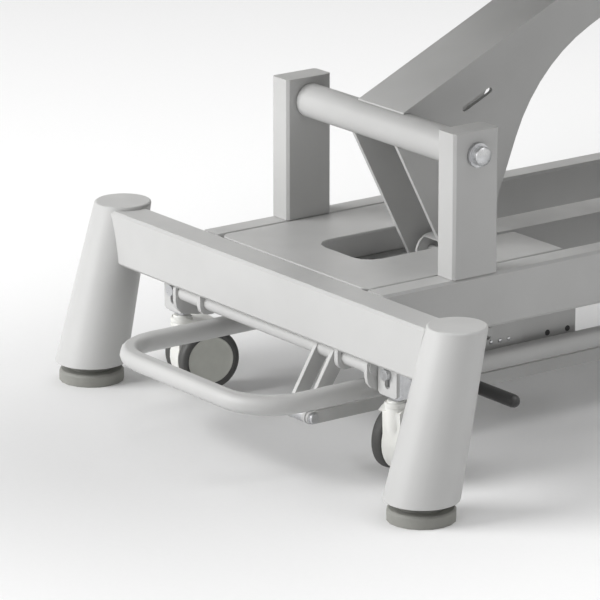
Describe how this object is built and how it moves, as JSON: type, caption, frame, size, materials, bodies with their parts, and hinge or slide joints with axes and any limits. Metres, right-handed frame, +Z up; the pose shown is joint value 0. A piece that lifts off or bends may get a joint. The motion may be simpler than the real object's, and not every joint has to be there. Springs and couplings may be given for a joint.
{
  "type": "treatment table",
  "caption": "Height-adjustable treatment table: leaning-leg steel base, bell-crank lift arms on a parallelogram, upholstered top with a drop head section, foot loop and pedal-lowered castors.",
  "frame": {"origin": "on the floor, under the middle of the table", "axes": "+Y along the table from the head end to the foot end, +X across it, +Z up"},
  "size_m": [0.685, 2, 0.7286],
  "materials": {
    "powder_coated_steel": "light grey powder coat, fine texture",
    "zinc_plated_steel": "bright zinc plating",
    "grey_rubber": "matt grey",
    "white_nylon": "moulded white nylon, satin",
    "wheel_rubber": "dark grey tread on a grey hub",
    "black_rubber": "black, fine grain",
    "light_plastic": "moulded light grey",
    "plywood": "birch plywood, sealed",
    "cushion_cover": "grained coated fabric over foam"
  },
  "bodies": {
    "base": {"near_crossbeam": "powder_coated_steel", "far_crossbeam": "powder_coated_steel", "left_side_rail": "powder_coated_steel", "right_side_rail": "powder_coated_steel", "leg_near_left": "powder_coated_steel", "leg_near_right": "powder_coated_steel", "leg_far_left": "powder_coated_steel", "leg_far_right": "powder_coated_steel", "near_deck": "powder_coated_steel", "far_deck": "powder_coated_steel", "near_left_post": "powder_coated_steel", "near_right_post": "powder_coated_steel", "rear_left_post": "powder_coated_steel", "rear_right_post": "powder_coated_steel", "near_pivot_axle": "zinc_plated_steel", "rear_pivot_axle": "zinc_plated_steel", "near_switch_housing": "light_plastic", "far_switch_housing": "light_plastic", "control_box": "light_plastic"},
    "near_arm": {"near_lift_arm": "powder_coated_steel", "near_pivot_tube": "powder_coated_steel", "near_upper_tube": "powder_coated_steel"},
    "rear_arm": {"rear_lift_arm": "powder_coated_steel", "rear_pivot_tube": "powder_coated_steel", "rear_upper_tube": "powder_coated_steel"},
    "upper_section": {"upper_frame": "powder_coated_steel", "near_upper_axle": "zinc_plated_steel", "rear_upper_axle": "zinc_plated_steel", "main_board": "plywood", "main_cushion": "cushion_cover"},
    "tie_bar": {"tie_bar": "powder_coated_steel"},
    "actuator_rod": {"actuator_rod": "zinc_plated_steel"},
    "actuator_body": {"actuator_body": "light_plastic"},
    "head_section": {"head_frame": "powder_coated_steel", "head_board": "plywood", "head_cushion": "cushion_cover"},
    "clamp_lever": {"clamp_lever": "black_rubber"},
    "near_castor_shaft": {"near_castor_shaft": "powder_coated_steel", "pedal_sleeve": "black_rubber"},
    "far_castor_shaft": {"far_castor_shaft": "powder_coated_steel"},
    "link": {"link_bar": "powder_coated_steel", "near_link_bolt": "zinc_plated_steel", "far_link_bolt": "zinc_plated_steel"},
    "foot_loop": {"foot_loop": "powder_coated_steel"},
    "carrier_near_left": {"carrier_near_left": "zinc_plated_steel"},
    "hood_near_left": {"hood_near_left": "white_nylon"},
    "wheels_near_left": {"wheels_near_left": "wheel_rubber"},
    "foot_near_left": {"foot_near_left": "grey_rubber"},
    "carrier_near_right": {"carrier_near_right": "zinc_plated_steel"},
    "hood_near_right": {"hood_near_right": "white_nylon"},
    "wheels_near_right": {"wheels_near_right": "wheel_rubber"},
    "foot_near_right": {"foot_near_right": "grey_rubber"},
    "carrier_far_left": {"carrier_far_left": "zinc_plated_steel"},
    "hood_far_left": {"hood_far_left": "white_nylon"},
    "wheels_far_left": {"wheels_far_left": "wheel_rubber"},
    "foot_far_left": {"foot_far_left": "grey_rubber"},
    "carrier_far_right": {"carrier_far_right": "zinc_plated_steel"},
    "hood_far_right": {"hood_far_right": "white_nylon"},
    "wheels_far_right": {"wheels_far_right": "wheel_rubber"},
    "foot_far_right": {"foot_far_right": "grey_rubber"}
  },
  "joints": [
    {"name": "lift", "type": "hinge", "parent": "base", "child": "near_arm", "pos_m": [0, -0.517, 0.3297], "axis": [1, 0, 0], "range_deg": [-29.5, 40.5]},
    {"name": "rear_arm_pivot", "type": "hinge", "parent": "base", "child": "rear_arm", "pos_m": [0, 0.133, 0.3297], "axis": [1, 0, 0], "range_deg": [-29.5, 40.5]},
    {"name": "upper_frame_pivot", "type": "hinge", "parent": "near_arm", "child": "upper_section", "pos_m": [0, -0.08057, 0.52951], "axis": [1, 0, 0], "range_deg": [-40.5, 29.5]},
    {"name": "tie_bar_pivot", "type": "hinge", "parent": "near_arm", "child": "tie_bar", "pos_m": [0, -0.43416, 0.16989], "axis": [1, 0, 0], "range_deg": [-40.5, 29.5]},
    {"name": "actuator_rod_pivot", "type": "hinge", "parent": "rear_arm", "child": "actuator_rod", "pos_m": [-0.088, 0.19047, 0.42349], "axis": [1, 0, 0], "range_deg": [-40.5, 29.5]},
    {"name": "actuator_stroke", "type": "slide", "parent": "actuator_rod", "child": "actuator_body", "axis": [0, 0.9087, -0.4174], "range_m": [-0.0535, 0.0735]},
    {"name": "head_tilt", "type": "hinge", "parent": "upper_section", "child": "head_section", "pos_m": [0, -0.47, 0.6475], "axis": [1, 0, 0], "range_deg": [0, 50]},
    {"name": "head_clamp", "type": "hinge", "parent": "upper_section", "child": "clamp_lever", "pos_m": [0.118, -0.47, 0.5775], "axis": [1, 0, 0], "range_deg": [-40, 40]},
    {"name": "castor_lift", "type": "hinge", "parent": "base", "child": "near_castor_shaft", "pos_m": [0, -0.66, 0.1252], "axis": [-1, 0, 0], "range_deg": [0, 19.4]},
    {"name": "far_castor_shaft_turn", "type": "hinge", "parent": "base", "child": "far_castor_shaft", "pos_m": [0, 0.654, 0.1252], "axis": [-1, 0, 0], "range_deg": [0, 19.4]},
    {"name": "link_pivot", "type": "hinge", "parent": "near_castor_shaft", "child": "link", "pos_m": [0.1178, -0.7001, 0.0623], "axis": [-1, 0, 0], "range_deg": [-19.4, 0]},
    {"name": "foot_loop_lift", "type": "slide", "parent": "base", "child": "foot_loop", "axis": [0, 0, 1], "range_m": [0, 0.006]},
    {"name": "carrier_slide_near_left", "type": "slide", "parent": "base", "child": "carrier_near_left", "axis": [0, 0, -1], "range_m": [0, 0.0122]},
    {"name": "swivel_near_left", "type": "hinge", "parent": "carrier_near_left", "child": "hood_near_left", "pos_m": [-0.195, -0.647, 0.085], "axis": [0, 0, 1], "continuous": true},
    {"name": "wheels_spin_near_left", "type": "hinge", "parent": "hood_near_left", "child": "wheels_near_left", "pos_m": [-0.1896, -0.62362, 0.043], "axis": [0.9744, -0.225, 0], "continuous": true},
    {"name": "foot_screw_near_left", "type": "slide", "parent": "base", "child": "foot_near_left", "axis": [0, 0, -1], "range_m": [0, 0.015]},
    {"name": "carrier_slide_near_right", "type": "slide", "parent": "base", "child": "carrier_near_right", "axis": [0, 0, -1], "range_m": [0, 0.0122]},
    {"name": "swivel_near_right", "type": "hinge", "parent": "carrier_near_right", "child": "hood_near_right", "pos_m": [0.195, -0.647, 0.085], "axis": [0, 0, 1], "continuous": true},
    {"name": "wheels_spin_near_right", "type": "hinge", "parent": "hood_near_right", "child": "wheels_near_right", "pos_m": [0.18879, -0.62382, 0.043], "axis": [0.9659, 0.2588, 0], "continuous": true},
    {"name": "foot_screw_near_right", "type": "slide", "parent": "base", "child": "foot_near_right", "axis": [0, 0, -1], "range_m": [0, 0.015]},
    {"name": "carrier_slide_far_left", "type": "slide", "parent": "base", "child": "carrier_far_left", "axis": [0, 0, -1], "range_m": [0, 0.0122]},
    {"name": "swivel_far_left", "type": "hinge", "parent": "carrier_far_left", "child": "hood_far_left", "pos_m": [-0.195, 0.667, 0.085], "axis": [0, 0, 1], "continuous": true},
    {"name": "wheels_spin_far_left", "type": "hinge", "parent": "hood_far_left", "child": "wheels_far_left", "pos_m": [-0.18486, 0.64525, 0.043], "axis": [-0.9063, -0.4226, 0], "continuous": true},
    {"name": "foot_screw_far_left", "type": "slide", "parent": "base", "child": "foot_far_left", "axis": [0, 0, -1], "range_m": [0, 0.015]},
    {"name": "carrier_slide_far_right", "type": "slide", "parent": "base", "child": "carrier_far_right", "axis": [0, 0, -1], "range_m": [0, 0.0122]},
    {"name": "swivel_far_right", "type": "hinge", "parent": "carrier_far_right", "child": "hood_far_right", "pos_m": [0.195, 0.667, 0.085], "axis": [0, 0, 1], "continuous": true},
    {"name": "wheels_spin_far_right", "type": "hinge", "parent": "hood_far_right", "child": "wheels_far_right", "pos_m": [0.18879, 0.64382, 0.043], "axis": [-0.9659, 0.2588, 0], "continuous": true},
    {"name": "foot_screw_far_right", "type": "slide", "parent": "base", "child": "foot_far_right", "axis": [0, 0, -1], "range_m": [0, 0.015]}
  ],
  "couplings": [
    {"joint": "rear_arm_pivot", "follows": "lift", "ratio": 1},
    {"joint": "upper_frame_pivot", "follows": "lift", "ratio": -1},
    {"joint": "tie_bar_pivot", "follows": "lift", "ratio": -1},
    {"joint": "actuator_rod_pivot", "follows": "lift", "ratio": -1},
    {"joint": "actuator_stroke", "follows": "lift", "m_per_rad": 0.1031},
    {"joint": "far_castor_shaft_turn", "follows": "castor_lift", "ratio": 1},
    {"joint": "link_pivot", "follows": "castor_lift", "ratio": -1},
    {"joint": "carrier_slide_near_left", "follows": "castor_lift", "m_per_rad": 0.03544},
    {"joint": "carrier_slide_near_right", "follows": "castor_lift", "m_per_rad": 0.03544},
    {"joint": "carrier_slide_far_left", "follows": "castor_lift", "m_per_rad": 0.03544},
    {"joint": "carrier_slide_far_right", "follows": "castor_lift", "m_per_rad": 0.03544}
  ]
}
